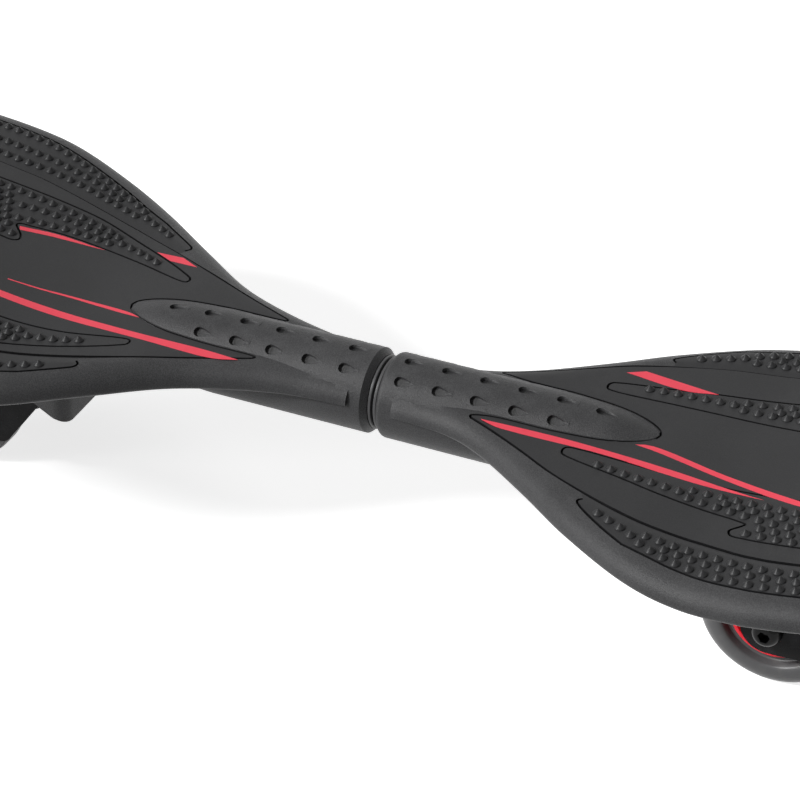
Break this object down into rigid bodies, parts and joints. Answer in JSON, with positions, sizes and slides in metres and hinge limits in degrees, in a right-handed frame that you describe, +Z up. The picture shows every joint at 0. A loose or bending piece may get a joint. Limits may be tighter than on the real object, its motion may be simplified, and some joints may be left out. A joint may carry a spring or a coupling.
{
  "type": "caster board",
  "caption": "Twisting caster board: moulded decks with stud grip and a rolled rim on a round sprung neck, each on a slanted swivel caster with a red-hubbed wheel",
  "frame": {"origin": "bottom centre of the bounding box, on the floor below the middle of the neck", "axes": "+X along the board towards the nose of the front deck, +Y across the board to its left, +Z up"},
  "size_m": [0.864, 0.25, 0.1482],
  "materials": {
    "deck": "fine grain",
    "bush": "satin",
    "zinc_steel": "zinc plated",
    "bearing_steel": "polished",
    "spring_steel": "oiled",
    "black_steel": "satin black",
    "hub": "gloss red",
    "stripe": "printed red stripe",
    "tyre": "smooth cast polyurethane"
  },
  "bodies": {
    "rear_half": {"rear_deck": "deck", "rear_bush": "bush", "rear_anchor": "zinc_steel", "rear_anchor_screw": "zinc_steel", "rear_base_plate": "black_steel", "rear_plate_screw_1": "zinc_steel", "rear_plate_screw_2": "zinc_steel", "rear_plate_screw_3": "zinc_steel", "rear_plate_screw_4": "zinc_steel", "rear_upper_race": "bearing_steel", "rear_kingpin": "zinc_steel", "rear_kingpin_washer": "zinc_steel", "rear_kingpin_nut": "zinc_steel", "pivot_tube": "zinc_steel", "torsion_bar": "spring_steel"},
    "rear_caster": {"rear_lower_race": "bearing_steel", "rear_ball_ring": "bearing_steel", "rear_fork": "black_steel", "rear_axle_bolt": "black_steel", "rear_axle_nut": "zinc_steel", "rear_axle_spacer_left": "zinc_steel", "rear_axle_spacer_right": "zinc_steel", "rear_bearing_sleeve": "zinc_steel"},
    "rear_wheel": {"rear_bearing_left": "bearing_steel", "rear_bearing_right": "bearing_steel", "rear_hub": "hub", "rear_tyre": "tyre"},
    "front_half": {"front_deck": "deck", "front_bush": "bush", "front_anchor": "zinc_steel", "front_anchor_screw": "zinc_steel", "front_base_plate": "black_steel", "front_plate_screw_1": "zinc_steel", "front_plate_screw_2": "zinc_steel", "front_plate_screw_3": "zinc_steel", "front_plate_screw_4": "zinc_steel", "front_upper_race": "bearing_steel", "front_kingpin": "zinc_steel", "front_kingpin_washer": "zinc_steel", "front_kingpin_nut": "zinc_steel"},
    "front_caster": {"front_lower_race": "bearing_steel", "front_ball_ring": "bearing_steel", "front_fork": "black_steel", "front_axle_bolt": "black_steel", "front_axle_nut": "zinc_steel", "front_axle_spacer_left": "zinc_steel", "front_axle_spacer_right": "zinc_steel", "front_bearing_sleeve": "zinc_steel"},
    "front_wheel": {"front_bearing_left": "bearing_steel", "front_bearing_right": "bearing_steel", "front_hub": "hub", "front_tyre": "tyre"}
  },
  "joints": [
    {"name": "deck_twist", "type": "hinge", "parent": "rear_half", "child": "front_half", "pos_m": [0, 0, 0.10385], "axis": [1, 0, 0], "range_deg": [-25, 25], "stiffness_Nm_per_rad": 67, "deforming": ["torsion_bar"]},
    {"name": "rear_swivel", "type": "hinge", "parent": "rear_half", "child": "rear_caster", "pos_m": [-0.192, 0, 0.07285], "axis": [0.5, 0, 0.866], "continuous": true},
    {"name": "rear_wheel_spin", "type": "hinge", "parent": "rear_caster", "child": "rear_wheel", "pos_m": [-0.24683, 0, 0.03788], "axis": [0, 1, 0], "continuous": true},
    {"name": "front_swivel", "type": "hinge", "parent": "front_half", "child": "front_caster", "pos_m": [0.255, 0, 0.07285], "axis": [0.5, 0, 0.866], "continuous": true},
    {"name": "front_wheel_spin", "type": "hinge", "parent": "front_caster", "child": "front_wheel", "pos_m": [0.20017, 0, 0.03788], "axis": [0, 1, 0], "continuous": true}
  ]
}
